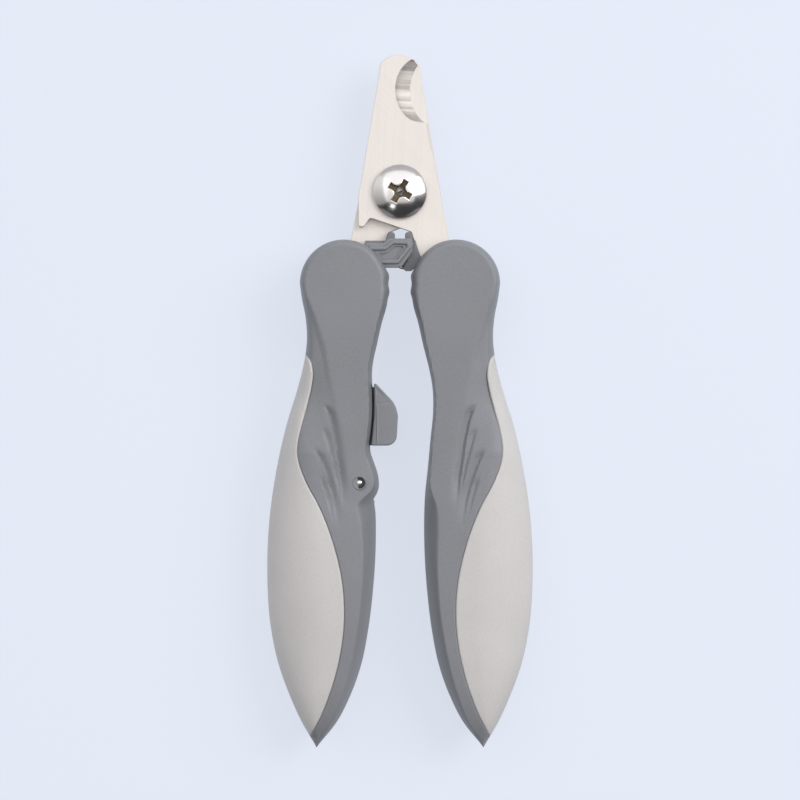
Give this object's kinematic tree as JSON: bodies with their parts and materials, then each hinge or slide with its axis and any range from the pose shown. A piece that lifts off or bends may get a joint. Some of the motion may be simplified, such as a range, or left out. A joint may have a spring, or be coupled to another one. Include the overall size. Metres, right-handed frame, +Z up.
{
  "type": "scissor nail clipper",
  "caption": "Scissor-type pet nail clipper with claw-notched blades on one pivot, soft-grip handles, a return spring and a lock lever.",
  "frame": {"origin": "centre of the footprint of the closed tool, on the plane it lies on", "axes": "+Y along the tool towards the blade tips, +Z up out of the front face, +X towards the handle of the front blade"},
  "size_m": [0.0578, 0.15, 0.017],
  "materials": {
    "handle_plastic": "fine matte moulded grain",
    "dark_plastic": "fine matte moulded grain",
    "soft_grip": "soft matte overmoulding",
    "blade_steel": "brushed, ground cutting edge",
    "screw_chrome": "polished",
    "pin_steel": "turned",
    "spring_steel": "drawn wire"
  },
  "bodies": {
    "left_handle": {"left_front_shell": "handle_plastic", "left_back_shell": "handle_plastic", "left_soft_grip": "soft_grip", "rear_blade": "blade_steel", "left_tang_rivets": "pin_steel", "left_spring_seat": "dark_plastic", "left_cover_arm": "dark_plastic", "lock_pin": "pin_steel", "pivot_screw": "screw_chrome", "pivot_washer": "pin_steel", "pivot_nut": "screw_chrome", "return_spring": "spring_steel"},
    "right_handle": {"right_front_shell": "handle_plastic", "right_back_shell": "handle_plastic", "right_soft_grip": "soft_grip", "front_blade": "blade_steel", "right_tang_rivets": "pin_steel", "right_spring_seat": "dark_plastic", "right_cover_arm": "dark_plastic", "catch_pin": "pin_steel"},
    "lock_lever": {"lock_lever": "handle_plastic"}
  },
  "joints": [
    {"name": "blade_pivot", "type": "hinge", "parent": "left_handle", "child": "right_handle", "pos_m": [0, 0.0453, 0.0085], "axis": [0, 0, 1], "range_deg": [0, 22], "stiffness_Nm_per_rad": 0.2, "springref_deg": 34.38, "deforming": ["return_spring"]},
    {"name": "lever_pivot", "type": "hinge", "parent": "left_handle", "child": "lock_lever", "pos_m": [-0.0087, -0.0176, 0.0085], "axis": [0, 0, -1], "range_deg": [0, 28]}
  ]
}
